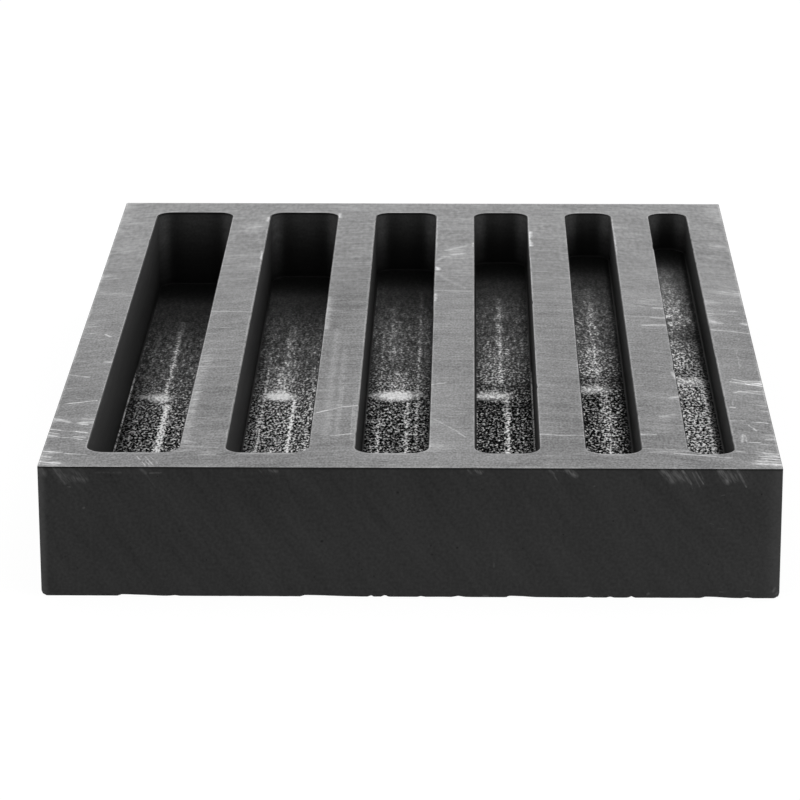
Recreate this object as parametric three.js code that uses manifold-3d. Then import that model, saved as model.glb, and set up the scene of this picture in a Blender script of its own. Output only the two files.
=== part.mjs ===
// A graphite ingot mould: one flat block with six open slots side by side, each one casting a
// square bar of its own size.
//
// Millimetres, +Z up. The origin is at the middle of the underside. The slots run along Y, and the
// widest one is at the -X side. The block is a single piece, as the real one is: its six faces are
// milled flat and the slots are milled down into its top. Nothing is fastened to it, nothing is
// hidden in it and nothing on it moves.

import * as THREE from 'three';
import { mergeVertices } from 'three/addons/utils/BufferGeometryUtils.js';
import Module from 'manifold-3d';

// The square bars that the mould casts. Each is wider than the last by the same rise, and a slot
// is as wide and as deep as its bar.
const BAR_COUNT = 6;
const SMALLEST_BAR_WIDTH = 5;
const BAR_WIDTH_RISE = 1;
const BAR_LENGTH = 100;

// Graphite left standing round the slots.
const SIDE_WALL = 4.75;
const RIB = 5.1;
const END_WALL = 5;
const FLOOR_UNDER_DEEPEST_SLOT = 4.8;

// The end mill that cuts the slots: its radius is left in their corners, and the small round on
// its tip is left along the foot of their walls.
const CUTTER_RADIUS = 2;
const CUTTER_TIP_RADIUS = 0.25;

// Edges. The top and the slot rims are only just broken, so the metal levels off cleanly there.
const RIM_BREAK = 0.12;
const TOP_EDGE_BREAK = 0.12;
const UPRIGHT_EDGE_RADIUS = 0.3;
const BOTTOM_EDGE_BREAK = 0.3;

// How far a cutting solid stands clear above the face that it cuts.
const OVERRUN = 1;

// A corner's radius is at most this share of the slot's width, so that a flat end always stays.
const CORNER_WIDTH_SHARE = 0.48;

// Facets in a quarter turn. The first two are even, because an arc is divided into pairs of facets.
const CORNER_FACETS = 10;
const EDGE_FACETS = 4;
const FOOT_FACETS = 4;

// The slots' widths from -X to +X, widest first.
const BAR_WIDTHS = Array.from(
  { length: BAR_COUNT },
  (_, slot) => SMALLEST_BAR_WIDTH + (BAR_COUNT - 1 - slot) * BAR_WIDTH_RISE,
);

const BLOCK_WIDTH = BAR_WIDTHS.reduce((sum, width) => sum + width, 0)
  + (BAR_COUNT - 1) * RIB + 2 * SIDE_WALL;
const BLOCK_LENGTH = BAR_LENGTH + 2 * END_WALL;
const BLOCK_HEIGHT = Math.max(...BAR_WIDTHS) + FLOOR_UNDER_DEEPEST_SLOT;

const wasm = await Module();
wasm.setup();

const graphite = new THREE.MeshStandardMaterial({
  color: 0x47474a,
  roughness: 0.5,
  metalness: 0.15,
});

// A rectangle with round corners, centred on the origin, as a closed ring of points. Every ring
// made with as many facets has as many points, so rings of different sizes can be joined.
function roundedRing(width, length, radius, facets) {
  const quarter = Math.PI / 2;
  const x = width / 2 - radius;
  const y = length / 2 - radius;
  const shape = new THREE.Shape();
  shape.absarc(x, y, radius, 0, quarter);
  shape.absarc(-x, y, radius, quarter, 2 * quarter);
  shape.absarc(-x, -y, radius, 2 * quarter, 3 * quarter);
  shape.absarc(x, -y, radius, 3 * quarter, 4 * quarter);
  return shape.getPoints(facets / 2);
}

// A closed solid through a stack of rings, lowest first. Each level holds a height and a ring.
function loft(levels) {
  const count = levels[0].ring.length;
  const positions = [];
  for (const { height, ring } of levels) {
    for (const point of ring) positions.push(point.x, point.y, height);
  }

  const index = [];
  for (let level = 0; level + 1 < levels.length; level += 1) {
    const low = level * count;
    const high = low + count;
    for (let i = 0; i < count; i += 1) {
      const next = (i + 1) % count;
      index.push(low + i, low + next, high + next);
      index.push(low + i, high + next, high + i);
    }
  }

  const top = (levels.length - 1) * count;
  for (const [a, b, c] of THREE.ShapeUtils.triangulateShape(levels[0].ring, [])) {
    index.push(c, b, a);
  }
  for (const [a, b, c] of THREE.ShapeUtils.triangulateShape(levels.at(-1).ring, [])) {
    index.push(top + a, top + b, top + c);
  }

  const geometry = new THREE.BufferGeometry();
  geometry.setAttribute('position', new THREE.Float32BufferAttribute(positions, 3));
  geometry.setIndex(index);
  return geometry;
}

// The plain block before it is slotted, with its edges broken.
function blankGeometry() {
  const level = (height, inset) => ({
    height,
    ring: roundedRing(
      BLOCK_WIDTH - 2 * inset,
      BLOCK_LENGTH - 2 * inset,
      UPRIGHT_EDGE_RADIUS,
      EDGE_FACETS,
    ),
  });
  return loft([
    level(0, BOTTOM_EDGE_BREAK),
    level(BOTTOM_EDGE_BREAK, 0),
    level(BLOCK_HEIGHT - TOP_EDGE_BREAK, 0),
    level(BLOCK_HEIGHT, TOP_EDGE_BREAK),
  ]);
}

// The space that the cutter clears for one bar. Its foot carries the round of the cutter's tip,
// and its mouth widens through the broken rim and on above the top of the block.
function slotGeometry(width) {
  const corner = Math.min(CUTTER_RADIUS, width * CORNER_WIDTH_SHARE);
  const level = (height, inset) => ({
    height,
    ring: roundedRing(width - 2 * inset, BAR_LENGTH - 2 * inset, corner - inset, CORNER_FACETS),
  });

  const floor = BLOCK_HEIGHT - width;
  const levels = [];
  for (let step = 0; step <= FOOT_FACETS; step += 1) {
    const turn = (step / FOOT_FACETS) * (Math.PI / 2);
    levels.push(level(
      floor + CUTTER_TIP_RADIUS * (1 - Math.cos(turn)),
      CUTTER_TIP_RADIUS * (1 - Math.sin(turn)),
    ));
  }
  levels.push(level(BLOCK_HEIGHT - RIM_BREAK, 0));
  levels.push(level(BLOCK_HEIGHT + OVERRUN, -RIM_BREAK - OVERRUN));
  return loft(levels);
}

// A solid for cutting, from a closed geometry.
function toSolid(geometry) {
  const bare = geometry.clone();
  bare.deleteAttribute('normal');
  bare.deleteAttribute('uv');
  const merged = mergeVertices(bare);
  return new wasm.Manifold(new wasm.Mesh({
    numProp: 3,
    vertProperties: new Float32Array(merged.attributes.position.array),
    triVerts: new Uint32Array(merged.index.array),
  }));
}

// The geometry of a solid, with flat faces and crisp edges.
function toGeometry(solid) {
  const { vertProperties, triVerts } = solid.getMesh();
  const indexed = new THREE.BufferGeometry();
  indexed.setAttribute('position', new THREE.BufferAttribute(vertProperties, 3));
  indexed.setIndex(new THREE.BufferAttribute(triVerts, 1));
  const geometry = indexed.toNonIndexed();
  geometry.computeVertexNormals();
  return geometry;
}

// The slotted block. The slots stand side by side with a rib between each two.
function mouldBlock() {
  let block = toSolid(blankGeometry());
  let left = -BLOCK_WIDTH / 2 + SIDE_WALL;
  for (const width of BAR_WIDTHS) {
    const slot = slotGeometry(width).translate(left + width / 2, 0, 0);
    block = block.subtract(toSolid(slot));
    left += width + RIB;
  }
  const mesh = new THREE.Mesh(toGeometry(block), graphite);
  mesh.name = 'mould_block';
  return mesh;
}

const mould = new THREE.Group();
mould.name = 'ingot_mould';
mould.add(mouldBlock());

export default mould;
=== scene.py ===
"""Looks of a graphite ingot mould: one milled block with six open slots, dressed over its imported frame.

Everything is in the frame's own axes: +Z up, the slots along Y, the origin in the middle of the
underside. Sizes are written in millimetres and become metres where a mesh or an object is made.
"""

import logging
import math
from dataclasses import dataclass, field
from enum import IntEnum

import bpy
import numpy as np
from mathutils import Matrix, Vector


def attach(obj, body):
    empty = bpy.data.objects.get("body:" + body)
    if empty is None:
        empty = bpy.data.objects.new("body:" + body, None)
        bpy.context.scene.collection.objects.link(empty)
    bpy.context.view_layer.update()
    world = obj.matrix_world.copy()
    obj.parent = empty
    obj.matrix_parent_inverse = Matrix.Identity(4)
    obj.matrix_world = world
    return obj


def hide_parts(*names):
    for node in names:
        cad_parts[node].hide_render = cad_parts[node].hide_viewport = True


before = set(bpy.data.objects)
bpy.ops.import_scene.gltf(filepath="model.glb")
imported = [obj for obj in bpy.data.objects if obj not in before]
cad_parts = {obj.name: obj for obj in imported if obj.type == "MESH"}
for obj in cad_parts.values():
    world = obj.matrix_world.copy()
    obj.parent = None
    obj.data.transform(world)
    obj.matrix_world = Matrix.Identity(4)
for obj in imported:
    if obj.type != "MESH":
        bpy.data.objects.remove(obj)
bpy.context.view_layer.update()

MM = 0.001
log = logging.getLogger("ingot_mould")


class Surface(IntEnum):
    """Where a facet lies. The number is the finish's place in the mesh's list of materials."""

    TOP_FAR_LEFT = 0
    TOP_LEFT = 1
    TOP_RIGHT = 2
    TOP_FAR_RIGHT = 3
    SLOT_WALL = 4
    SLOT_FLOOR = 5
    OUTSIDE = 6


# Whole-array helpers


def graded(count: int, pull: float = 0.7) -> np.ndarray:
    """Shares from 0 to 1 that crowd towards both ends: u less pull times sin(2 pi u) over 2 pi.

    Args:
        count: number of steps.
        pull: how strongly they crowd, from 0 for even steps to just under 1.

    Returns:
        count + 1 rising shares.
    """
    u = np.linspace(0.0, 1.0, count + 1)
    return u - pull * np.sin(2 * np.pi * u) / (2 * np.pi)


def smooth(low: float, high: float, value: np.ndarray) -> np.ndarray:
    """Eases from 0 at low to 1 at high by t squared times (3 less 2 t).

    Args:
        low: value where it is 0.
        high: value where it is 1. It may be less than low, and then the ease falls.
        value: numbers to ease.

    Returns:
        Shares from 0 to 1, shaped as value.
    """
    t = np.clip((value - low) / (high - low), 0.0, 1.0)
    return t * t * (3 - 2 * t)


def bump_of(value: np.ndarray, middle: float, reach: float) -> np.ndarray:
    """A bell round middle: e to the power of minus the square of the distance over reach."""
    return np.exp(-(((value - middle) / reach) ** 2))


def wander(value: np.ndarray, seed: int, waves: tuple[tuple[float, float], ...]) -> np.ndarray:
    """A smooth random line: for each (length, size) three sines near that length, with seeded phases.

    Args:
        value: place along the line, in mm.
        seed: the line's own number.
        waves: pairs of wave length in mm and size.

    Returns:
        Height of the line at each value.
    """
    dice = np.random.default_rng(seed)
    total = np.zeros_like(value)
    for length, size in waves:
        for stretch, phase in zip(dice.uniform(0.7, 1.4, 3), dice.uniform(0, 2 * np.pi, 3)):
            total += size / 3 * np.sin(2 * np.pi * value / (length * stretch) + phase)
    return total


class Skin:
    """Points and facets of one closed surface, gathered as whole arrays."""

    CAP_PULL = 50.0
    SHORTEST_NORMAL = 1e-12

    def __init__(self) -> None:
        """Starts with no points."""
        self.points: list[np.ndarray] = []
        self.quads: list[np.ndarray] = []
        self.kinds: list[np.ndarray] = []
        self.caps: list[tuple[np.ndarray, Surface]] = []
        self.count = 0

    def add(self, x: np.ndarray, y: np.ndarray, z: np.ndarray | float) -> np.ndarray:
        """Adds points.

        Args:
            x: places across the block, in mm.
            y: places along it, in mm.
            z: heights, in mm.

        Returns:
            The points' numbers, shaped as x.
        """
        xyz = np.stack(np.broadcast_arrays(x, y, z), axis=-1).reshape(-1, 3)
        numbers = np.arange(self.count, self.count + len(xyz)).reshape(np.shape(x))
        self.points.append(xyz)
        self.count += len(xyz)
        return numbers

    def sheet(
        self, numbers: np.ndarray, kind: Surface | np.ndarray, keep: np.ndarray | bool = True
    ) -> None:
        """Faces a grid of points upwards: its rows run to +Y and its columns to +X.

        Args:
            numbers: the grid's point numbers, rows by columns.
            kind: where it lies, for all cells or for each.
            keep: which cells to face.
        """
        a, b = numbers[:-1, :-1], numbers[:-1, 1:]
        c, d = numbers[1:, 1:], numbers[1:, :-1]
        keep = np.broadcast_to(keep, a.shape)
        self.quads.append(np.stack([a, b, c, d], axis=-1)[keep])
        self.kinds.append(np.broadcast_to(kind, a.shape)[keep])

    def wrap(self, rings: list[np.ndarray], kind: Surface, inward: bool) -> None:
        """Faces the wall between closed rings that follow each other downwards.

        Args:
            rings: point numbers of each ring, anticlockwise from above.
            kind: where it lies.
            inward: True for the wall of a hole, which faces the ring's middle.
        """
        stack = np.array(rings)
        a, d = stack[:-1], stack[1:]
        b, c = np.roll(a, -1, axis=1), np.roll(d, -1, axis=1)
        cells = np.stack([a, b, c, d] if inward else [a, d, c, b], axis=-1).reshape(-1, 4)
        self.quads.append(cells)
        self.kinds.append(np.full(len(cells), kind))

    def cap(self, ring: np.ndarray, kind: Surface) -> None:
        """Closes the underside with one flat facet on a ring that runs anticlockwise from above."""
        self.caps.append((ring[::-1], kind))

    def tidy(self) -> None:
        """Drops the points that no facet uses, such as the top grid's over the open slots."""
        points, quads, _ = self.arrays()
        used = np.zeros(len(points), bool)
        used[quads] = True
        number = np.cumsum(used) - 1
        self.points, self.quads = [points[used]], [number[quads]]
        self.caps = [(number[ring], kind) for ring, kind in self.caps]

    def arrays(self) -> tuple[np.ndarray, np.ndarray, np.ndarray]:
        """The points, the four-cornered facets and their kinds, each as one array."""
        return np.concatenate(self.points), np.concatenate(self.quads), np.concatenate(self.kinds)

    def normals(self, points: np.ndarray, quads: np.ndarray) -> np.ndarray:
        """Each point's normal: the sum of its facets' normals, each as long as its facet is large.

        Flats so stay flat right up to the small rounds beside them. The cap pulls its ring down.

        Args:
            points: the points in mm.
            quads: the facets' point numbers.

        Returns:
            A normal of length 1 per point.
        """
        a, b, c, d = (points[quads[:, corner]] for corner in range(4))
        across = np.cross(c - a, d - b)
        total = np.zeros_like(points)
        for corner in range(4):
            np.add.at(total, quads[:, corner], across)
        for ring, _ in self.caps:
            total[ring, 2] -= self.CAP_PULL
        return total / np.maximum(np.linalg.norm(total, axis=1, keepdims=True), self.SHORTEST_NORMAL)

    def object(self, name: str, points: np.ndarray, marks: dict[str, np.ndarray]) -> bpy.types.Object:
        """Makes the object, its place in its mesh, with smooth shading by facet size.

        Args:
            name: the object's name.
            points: the points in mm, in the order they were added.
            marks: numbers kept per point, by name.

        Returns:
            The new object, linked into the scene.
        """
        _, quads, kinds = self.arrays()
        mesh = bpy.data.meshes.new(name)
        facets = quads.tolist() + [ring.tolist() for ring, _ in self.caps]
        mesh.from_pydata(points * MM, [], facets)
        kinds = np.concatenate([kinds, [kind for _, kind in self.caps]])
        mesh.polygons.foreach_set("material_index", kinds.astype(np.int32))
        mesh.polygons.foreach_set("use_smooth", np.ones(len(facets), bool))
        mesh.update()
        mesh.normals_split_custom_set_from_vertices(self.normals(points, quads))
        for label, values in marks.items():
            layer = mesh.attributes.new(label, "FLOAT", "POINT")
            layer.data.foreach_set("value", values.astype(np.float32))
        made = bpy.data.objects.new(name, mesh)
        bpy.context.scene.collection.objects.link(made)
        return made


# Wear of the block, and painted light and shade on it, read off the photograph, in mm

# Chips under the front edge: place across, reach, depth, and how many times as far it runs to the right.
LOWER_CHIPS = (
    (-31.3, 0.4, 0.11, 13.0), (-25.8, 0.25, 0.06, 4.0), (-11.5, 0.4, 0.12, 15.0), (-4.2, 0.35, 0.11, 1.0),
    (-2.7, 0.45, 0.14, 1.0), (1.3, 0.4, 0.06, 1.0), (5.4, 0.5, 0.1, 1.0), (10.8, 0.4, 0.12, 9.0),
    (19.3, 0.3, 0.06, 1.0), (21.7, 0.5, 0.06, 1.0), (24.0, 0.4, 0.12, 1.0), (32.0, 0.5, 0.11, 7.0),
    (36.7, 0.35, 0.12, 1.0),
)

# Chips on the slots' rims: slot, place along it, and -1 for its left rim or 1 for its right.
RIM_CHIPS = (
    (0, 35.6, -1), (2, -43.0, -1), (3, -26.0, 1), (3, 8.0, 1),
    (4, -36.0, 1), (5, 33.5, -1), (5, 33.0, 1), (5, -19.0, -1),
)

RIM_CHIP_REACH, RIM_CHIP_PUSH, RIM_CHIP_DEPTH = (0.45, 1.2, 0.5), 0.1, 0.12

# Chips at the lower corners: -1 for the front ones or 1 for the back ones, and their depth.
CORNER_CHIPS = ((-1, 0.14), (1, 0.12))
CORNER_CHIP_REACH, CORNER_CHIP_PUSH = (0.6, 0.6, 0.6), (0.15, 0.1)

# The lower edge's slight waver: wave lengths and sizes, how high up and how far in it reaches, and
# how many times faster it runs along the sides than across the front.
WAVER_SEED = 5
WAVER = ((9.0, 0.015), (3.1, 0.015), (1.2, 0.01))
WAVER_RISE, WAVER_EDGE, WAVER_SIDE = 0.5, (-0.8, -0.1), 1.31

# Rubbed spots on the top: middle, reach across and along, strength.
TOP_SPOTS = (
    (-39.7, 53.0, 0.9, 2.6, 0.6), (-39.6, 46.3, 1.0, 2.0, 0.6), (-39.8, 40.0, 0.8, 1.3, 0.6),
    (-39.8, 18.6, 1.4, 1.2, 1.0), (-39.7, 12.0, 0.8, 1.0, 0.5), (-37.5, 10.9, 2.2, 0.8, 0.35),
    (-38.3, 31.0, 1.5, 0.8, 0.4), (-39.6, -2.6, 1.2, 0.8, 0.7), (-39.4, -38.9, 1.0, 0.8, 1.0),
    (-36.3, -40.1, 0.8, 0.8, 1.2), (-36.4, -43.2, 0.7, 0.6, 0.6), (-36.6, -45.2, 0.8, 0.7, 0.8),
    (-39.6, -44.6, 0.8, 0.9, 0.7), (-39.3, -50.0, 1.2, 0.7, 0.5), (-39.6, -52.0, 0.8, 1.6, 0.7),
    (-38.9, -53.8, 1.2, 0.6, 0.7), (39.2, 51.5, 1.4, 3.0, 0.6), (39.6, 46.8, 0.6, 1.6, 0.7),
    (38.7, 34.4, 1.3, 1.0, 0.5), (37.7, 28.3, 1.0, 1.0, 0.45), (38.4, 12.3, 2.0, 1.3, 0.55),
    (39.8, 11.4, 0.7, 1.0, 0.9), (36.2, 8.3, 1.0, 0.8, 0.5), (35.6, 2.0, 0.6, 3.5, 0.6),
    (36.3, -0.6, 0.8, 0.6, 0.6), (39.7, -1.2, 0.5, 0.7, 0.8), (38.5, -24.6, 1.6, 0.9, 0.9),
    (39.8, -25.0, 0.5, 1.0, 1.6), (38.3, -28.0, 1.6, 0.8, 0.8), (39.5, -33.5, 0.7, 1.5, 0.4),
    (38.9, -39.1, 1.0, 0.5, 0.5), (39.4, -44.4, 0.8, 1.5, 0.7), (36.4, -44.8, 0.35, 1.3, 0.6),
    (39.0, -51.6, 1.3, 2.4, 1.1), (37.8, -53.3, 1.2, 0.8, 0.8), (-24.7, -33.0, 0.5, 13.0, 0.6),
    (-24.3, -17.0, 0.9, 5.0, 0.35), (-22.5, -48.5, 2.0, 3.0, 0.3), (-22.0, 42.0, 1.4, 2.6, 0.45),
    (-10.8, 3.0, 0.5, 6.0, 0.6), (-9.3, 52.5, 2.2, 1.5, 0.4), (2.5, -48.0, 1.2, 1.5, 0.5),
    (4.6, 30.5, 1.8, 3.0, 0.5), (29.8, -30.0, 0.5, 0.6, 0.8), (28.4, -37.0, 1.0, 0.9, 0.5),
    (27.0, -41.0, 1.2, 1.5, 0.35), (28.0, -49.0, 2.5, 1.0, 0.35), (28.5, 9.0, 2.5, 2.5, 0.35),
)

# Broad lighter and darker areas of the top: middle, reach across and along, amount.
TOP_CLOUDS = (
    (-37.5, 45.0, 5.0, 24.0, 0.12), (-37.5, -45.0, 5.0, 12.0, 0.12), (-23.0, -35.0, 4.0, 18.0, -0.12),
    (-8.5, 8.0, 4.0, 20.0, -0.35), (4.5, -5.0, 4.0, 18.0, 0.09), (4.5, -42.0, 7.0, 16.0, 0.22),
    (17.0, -40.0, 4.0, 14.0, -0.07), (38.0, -42.0, 5.0, 16.0, 0.14), (5.0, -53.0, 18.0, 4.0, 0.08),
    (30.0, -53.0, 16.0, 3.0, 0.08), (-24.0, -53.0, 14.0, 3.0, -0.06),
)

# Rubbed places under the front's top edge: middle, reach across, depth and strength.
FRONT_RUBS = (
    (-37.4, 1.2, 2.8, 1.0), (-35.6, 1.0, 1.8, 0.6), (-31.5, 2.6, 0.9, 0.35), (-28.0, 1.4, 0.8, 0.6),
    (-15.2, 1.1, 0.7, 0.8), (7.1, 0.8, 0.8, 0.9), (15.6, 0.7, 1.4, 0.5), (17.3, 0.7, 1.1, 1.1),
    (28.4, 1.2, 1.9, 1.5), (30.6, 1.4, 2.2, 1.2), (34.0, 0.9, 1.6, 1.4), (35.5, 0.7, 2.2, 0.9),
)

# How much lighter each slot's floor is than the first: painted light and shade, one level per slot.
FLOOR_LEVELS = (0.0, 0.1, -0.045, -0.14, -0.08, 0.18)

# Painted highlights along the feet of two slot walls: slot, -1 for its left wall or 1 for its right, where
# it starts, strength.
FOOT_HIGHLIGHTS = ((0, -1, 12.0, 1.0), (3, 1, 4.0, 0.8))

# Painted light and shade on the floors: slot, share of its width where in full and where none, start, end,
# amount.
FLOOR_SHADES = (
    (0, 0.02, 0.14, -60, 8, -0.6), (1, 0.02, 0.12, -60, 40, -0.35), (1, 1.0, 0.5, 10, 60, -0.2),
    (1, 0.1, 0.5, 24, 60, 0.2), (2, 0.02, 0.16, -60, 12, -0.5), (2, 0.98, 0.88, -60, 60, -0.4),
    (2, 1.0, 0.5, -60, 12, -0.3), (2, 0.1, 0.6, 20, 60, 0.3), (3, 0.98, 0.8, -60, 60, -0.5),
    (3, 0.0, 1.2, 10, 60, 0.2), (3, 0.0, 9.0, -5.5, -3.5, -0.7), (3, 0.0, 9.0, -13, -11, -0.6),
    (3, 0.0, 9.0, 16, 24, -0.2), (4, 0.95, 0.82, -60, 60, -0.85), (4, 0.1, 0.5, -3, 60, 0.3),
    (4, 0.0, 9.0, -5.5, -3.5, -0.45), (4, 1.0, 0.5, -7, -3.5, -0.6), (4, 0.0, 9.0, -13, -11, -0.4),
    (4, 0.0, 9.0, 8.5, 11.5, -0.35), (5, 0.15, 0.75, -3, 60, 0.85), (5, 0.9, 0.78, -60, 60, -0.8),
    (5, 1.0, 0.4, -3, 10, -0.3), (4, 0.1, 0.6, -3, 9, 0.3), (5, 0.0, 9.0, 8.5, 12, -0.6),
    (5, 0.0, 9.0, -5.5, -3.5, -0.35),
)

# Their fade at both ends, and the least share of glint that the painted shade leaves.
SHADE_FADE, LEAST_FLOOR_LIGHT = 2.0, 0.12

# Painted shade on a slot's walls, darker with depth: share of the depth, the side walls, the back wall.
WALL_SHADES = (
    (0.0, 1.6, 0.1), (0.012, 1.8, 0.15), (0.04, 1.9, 1.1), (0.1, 1.9, 1.25), (0.2, 1.8, 1.05),
    (0.35, 1.6, 0.77), (0.5, 1.4, 0.48), (0.65, 1.2, 0.32), (0.8, 1.0, 0.25), (0.9, 0.8, 0.2),
    (0.96, 0.5, 0.12), (1.0, 0.15, 0.05),
)

# The back wall's painted shade starts and is full so far in front of the slot's end.
BACK_FADE = (2.2, 0.4)

# Its corners get painted light: reach from the side wall, share of the depth, and how much at both.
CORNER_REACH = (1.9, 0.6)
CORNER_DEPTHS = (0.1, 0.45)
CORNER_LIGHT = (1.2, 1.6)
CORNER_SHADE = (2.4, 0.9, 0.25)

# The rim that the camera doesn't see gets painted shade: how light, reach from the wall, share of the depth.
HIDDEN_RIM, HIDDEN_REACH, HIDDEN_DEPTH = 0.12, 0.05, 0.02

# How near a point lies to a surface to be on it.
TOP_LAYER, FRONT_LAYER, FLOOR_LAYER = 0.3, 0.35, 0.005
FLOOR_INSET, FOOT_INSET, RIM_REACH, WALL_REACH = 0.4, 0.12, 0.12, 0.11

# The band of a painted foot highlight: height over the floor, half its height, reach across, length of its
# fade.
FOOT_RISE, FOOT_HALF, FOOT_REACH, FOOT_FADE = 0.03, 0.05, 0.1, 6.0

# The front's rubs lean so far across per mm of depth, and start so far to the left and down.
RUB_LEAN, RUB_SHIFT, EDGE_SKIP = 0.75, 0.4, 0.05

# Painted highlights on each slot's rims: left, right, and where the right one's highlight starts and ends.
RIM_GLINTS = (
    (0.1, 0.1, -50, 50), (1.0, 0.6, 10, 50), (1.0, 0.8, 5, 50),
    (0.3, 0.8, 28, 45), (0.0, 0.4, -50, 50), (0.0, 1.0, -50, 50),
)

# The painted highlight's fade at both ends, and where it starts and is full before the slot's ends.
GLINT_FADE, GLINT_ENDS = 3.0, (0.5, 2.5)


# The block


@dataclass(frozen=True)
class Slot:
    """One open slot, named by its width, which is its depth too. Sizes in mm."""

    left: float
    width: float

    @property
    def right(self) -> float:
        """Place of the right wall."""
        return self.left + self.width

    @property
    def middle(self) -> float:
        """Place of the middle, halfway between its walls."""
        return (self.left + self.right) / 2


@dataclass(frozen=True)
class Nick:
    """A small chip out of an edge: where, how far it reaches along each axis and how deep, in mm.

    To the right it reaches tail times as far.
    """

    x: float
    y: float
    z: float
    reach: tuple[float, float, float]
    push: tuple[float, float, float]
    tail: float = 1.0

    def shift(self, points: np.ndarray) -> np.ndarray:
        """How each point moves: push times (1 less the squared distance in reaches) squared.

        Args:
            points: points in mm.

        Returns:
            The move of each point, nothing beyond the reach.
        """
        away = (points - (self.x, self.y, self.z)) / self.reach
        away[:, 0] /= np.where(away[:, 0] > 0, self.tail, 1.0)
        near = np.clip(1.0 - (away**2).sum(axis=1), 0.0, None)
        return near[:, None] ** 2 * np.array(self.push)


@dataclass
class GraphiteBlock:
    """The mould: a block with six slots, each as deep as it is wide. All sizes in mm."""

    width: float = 80.0
    length: float = 110.0
    height: float = 14.8
    bar_widths: tuple[float, ...] = (10.0, 9.0, 8.0, 7.0, 6.0, 5.0)
    side_wall: float = 4.75
    rib: float = 5.1
    slot_length: float = 100.0
    cutter_radius: float = 2.0
    foot_round: float = 0.25
    rim_break: float = 0.10
    top_break: float = 0.06
    upright_round: float = 0.2
    lower_break: float = 0.08
    row_step: float = 1.0
    column_step: float = 0.26
    end_rows: int = 8
    wall_rings: tuple[float, ...] = (0.03, 0.1, 0.2, 0.32, 0.45, 0.58, 0.7, 0.82, 0.92, 1.0)
    side_rings: tuple[float, ...] = (0.35, 0.8, 1.5, 2.3, 4.0, 7.0, 10.0, 12.5, 13.7, 14.2, 14.42, 14.6)
    side_rings_height: float = 14.8
    top_splits: tuple[float, float, float] = (-31.5, -2.0, 31.5)
    edge_glow: float = 0.16
    skin: Skin = field(default_factory=Skin)

    @property
    def slots(self) -> list[Slot]:
        """The six slots from left to right."""
        widths = np.array(self.bar_widths)
        steps = np.concatenate([[0], np.cumsum(widths + self.rib)[:-1]])
        lefts = -self.width / 2 + self.side_wall + steps
        return [Slot(float(left), float(wide)) for left, wide in zip(lefts, widths)]

    def rows(self) -> np.ndarray:
        """Places of the grid's rows along Y: even along the slots, closer round every corner."""
        straight = self.slot_length / 2 - self.cutter_radius
        turn = self.cutter_radius + self.rim_break
        corner = self.length / 2 - self.upright_round
        half = np.concatenate(
            [
                np.linspace(0, straight, round(straight / self.row_step) + 1),
                straight + turn * np.sin(np.radians(np.arange(10, 91, 10))),
                np.linspace(straight + turn, corner, self.end_rows)[1:],
                corner + (self.upright_round - self.top_break) * np.sin(np.radians([30, 60, 90])),
            ]
        )
        return np.concatenate([-half[:0:-1], half])

    def borders(self, y: np.ndarray) -> np.ndarray:
        """Where the block's sides and the slots' rims cross each row of the top.

        A rounded corner of radius r whose centre line is c back from the row is the square root
        of (r squared less c squared) wide there.

        Args:
            y: places of the rows.

        Returns:
            Rows by 14 places across: the left side, each slot's two rims, the right side.
        """
        turn = self.cutter_radius + self.rim_break
        past = np.clip(np.abs(y) - (self.slot_length / 2 - self.cutter_radius), 0, turn)
        reach = np.sqrt(turn**2 - past**2)
        round_top = self.upright_round - self.top_break
        past_corner = np.clip(np.abs(y) - (self.length / 2 - self.upright_round), 0, round_top)
        side = self.width / 2 - self.upright_round + np.sqrt(round_top**2 - past_corner**2)
        lines = [-side]
        for slot in self.slots:
            lines.append(slot.left + self.cutter_radius - reach)
            lines.append(slot.right - self.cutter_radius + reach)
        return np.stack([*lines, side], axis=1)

    def top(self) -> tuple[np.ndarray, np.ndarray]:
        """Lays the flat top as one grid with the slots left out.

        Between two borders the columns lie at graded shares of the way across.

        Returns:
            The grid's point numbers and the column of each border.
        """
        y = self.rows()
        lines = self.borders(y)
        spans = [self.side_wall]
        for wide in self.bar_widths:
            spans += [wide, self.rib]
        spans[-1] = self.side_wall
        across, columns = [lines[:, :1]], [0]
        for number, span in enumerate(spans):
            share = graded(round(span / self.column_step))[1:]
            across.append(lines[:, number, None] * (1 - share) + lines[:, number + 1, None] * share)
            columns.append(columns[-1] + len(share))
        x = np.concatenate(across, axis=1)
        grid = self.skin.add(x, np.repeat(y[:, None], x.shape[1], axis=1), self.height)
        keep = np.ones((len(y) - 1, x.shape[1] - 1), bool)
        open_rows = np.abs((y[1:] + y[:-1]) / 2) < self.slot_length / 2 + self.rim_break
        for first, last in zip(columns[1:-1:2], columns[2:-1:2]):
            keep[np.ix_(open_rows, np.arange(first, last))] = False
        kinds = Surface.TOP_FAR_LEFT + np.searchsorted(self.top_splits, (x[1:, 1:] + x[:-1, :-1]) / 2)
        self.skin.sheet(grid, kinds, keep)
        return grid, np.array(columns)

    @staticmethod
    def rim_of(grid: np.ndarray) -> np.ndarray:
        """The border of a grid of point numbers as one ring, anticlockwise from above."""
        return np.concatenate([grid[0, :-1], grid[:-1, -1], grid[-1, :0:-1], grid[:0:-1, 0]])

    def rings(
        self, ring: np.ndarray, way: np.ndarray, inset: np.ndarray, drop: np.ndarray
    ) -> list[np.ndarray]:
        """Adds rings below a ring, each a step along the way from it and a drop under the top.

        Args:
            ring: point numbers of the first ring.
            way: each point's direction in plan, of length 1.
            inset: each further ring's step in mm.
            drop: each further ring's depth in mm.

        Returns:
            The rings' point numbers, the first ring included.
        """
        flat = np.concatenate(self.skin.points)[ring, :2]
        found = [ring]
        for step, depth in zip(inset, drop):
            place = flat + way * step
            found.append(self.skin.add(place[:, 0], place[:, 1], self.height - depth))
        return found

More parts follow.
